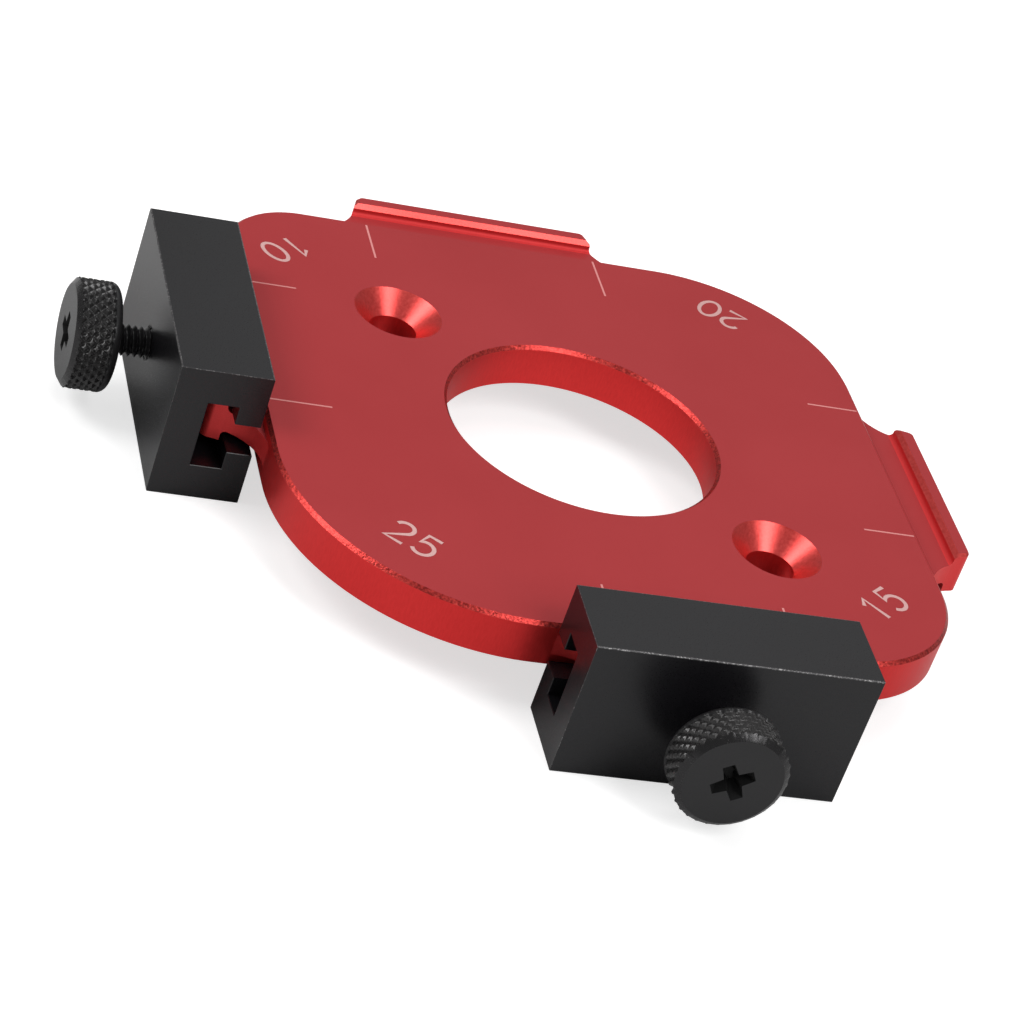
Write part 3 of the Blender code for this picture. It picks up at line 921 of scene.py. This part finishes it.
build_plate()
build_ticks()
for figure in FIGURES:
    build_figure(*figure)
for fence_side, fence_turn in (("left", math.pi), ("front", -math.pi / 2)):
    build_fence(fence_side, fence_turn)
    build_screw(fence_side, fence_turn)


# The floor, the light and the camera

WHITE = (1, 1, 1, 1)
FLOOR_RADIUS = 4.0
FLOOR_STEPS = 64
FLOOR_GAP = 0.02 * MM
FLOOR_COLOUR = (0.65, 0.65, 0.65, 1)
FLOOR_ROUGHNESS = 0.9
FLOOR_SPECULAR = 0.1
FLOOR_GLOW = 0.65
SURROUND_LIGHT = 0.3
SURROUND_SEEN = 1.0
# Each lamp's name, place, size and power; all look at the origin
LAMPS = (
    ("overhead", (0.05, 0.25, 0.75), 0.6, 1.7),
    ("left", (-0.5, 0.11, 0.48), 0.3, 1.8),
    ("front", (0.22, -0.37, 0.54), 0.3, 1.62),
    ("right", (0.42, -0.60, 0.43), 0.16, 0.7),
    ("behind", (0.35, 0.75, 0.5), 0.4, 0.13),
)
# The camera, solved from the photograph's outlines
AIM = Vector((-0.003474, -0.007822, 0.008))
VIEW_AZIMUTH = math.radians(-22.186)
VIEW_ELEVATION = math.radians(32.189)
VIEW_ROLL = math.radians(20.041)
VIEW_DISTANCE = 0.3743
VIEW_LENS = 124.302
SENSOR = 36.0
NEAR = 0.01
FAR = 20


def build_floor():
    """A plain pale floor that stays white to the camera and keeps the jig's soft shadow."""
    edit = bmesh.new()
    bmesh.ops.create_circle(edit, cap_ends=True, segments=FLOOR_STEPS, radius=FLOOR_RADIUS)
    mesh = bpy.data.meshes.new("floor")
    edit.to_mesh(mesh)
    edit.free()
    floor = new_object("floor", mesh)
    mat, tree, shader = principled("floor")
    shader.inputs["Base Color"].default_value = FLOOR_COLOUR
    shader.inputs["Roughness"].default_value = FLOOR_ROUGHNESS
    shader.inputs["Specular IOR Level"].default_value = FLOOR_SPECULAR
    shader.inputs["Emission Color"].default_value = WHITE
    path = node(tree, "ShaderNodeLightPath")
    lift = node(tree, "ShaderNodeMath", operation="MULTIPLY")
    lift.inputs[1].default_value = FLOOR_GLOW
    tree.links.new(path.outputs["Is Camera Ray"], lift.inputs[0])
    tree.links.new(lift.outputs[0], shader.inputs["Emission Strength"])
    mesh.materials.append(mat)
    floor.location.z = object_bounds()[0].z - FLOOR_GAP


def build_world():
    """An even pale surround, white to the camera."""
    world = bpy.data.worlds.new("surround")
    bpy.context.scene.world = world
    world.use_nodes = True
    tree = world.node_tree
    background = tree.nodes["Background"]
    background.inputs["Color"].default_value = WHITE
    path = node(tree, "ShaderNodeLightPath")
    level = node(tree, "ShaderNodeMapRange")
    level.inputs["To Min"].default_value = SURROUND_LIGHT
    level.inputs["To Max"].default_value = SURROUND_SEEN
    tree.links.new(path.outputs["Is Camera Ray"], level.inputs["Value"])
    tree.links.new(level.outputs["Result"], background.inputs["Strength"])


def area_light(name, place, size, power):
    """A square soft lamp that looks at the origin."""
    data = bpy.data.lights.new(name, "AREA")
    data.shape = "SQUARE"
    data.size = size
    data.energy = power
    lamp = new_object(name, data)
    lamp.location = place
    lamp.rotation_euler = (-Vector(place)).to_track_quat("-Z", "Y").to_euler()


def build_camera():
    """The camera at the photograph's viewing angle."""
    data = bpy.data.cameras.new("camera")
    data.lens = VIEW_LENS
    data.sensor_width = SENSOR
    data.clip_start = NEAR
    data.clip_end = FAR
    camera = new_object("camera", data)
    back = Vector((
        math.sin(VIEW_AZIMUTH) * math.cos(VIEW_ELEVATION),
        -math.cos(VIEW_AZIMUTH) * math.cos(VIEW_ELEVATION),
        math.sin(VIEW_ELEVATION),
    ))
    camera.location = AIM + back * VIEW_DISTANCE
    level = (-back).to_track_quat("-Z", "Y").to_matrix().to_4x4()
    tilt = Matrix.Rotation(VIEW_ROLL, 4, "Z")
    camera.rotation_euler = (level @ tilt).to_euler()
    bpy.context.scene.camera = camera


build_floor()
build_world()
for lamp in LAMPS:
    area_light(*lamp)
build_camera()
bpy.context.scene.view_settings.view_transform = "Standard"
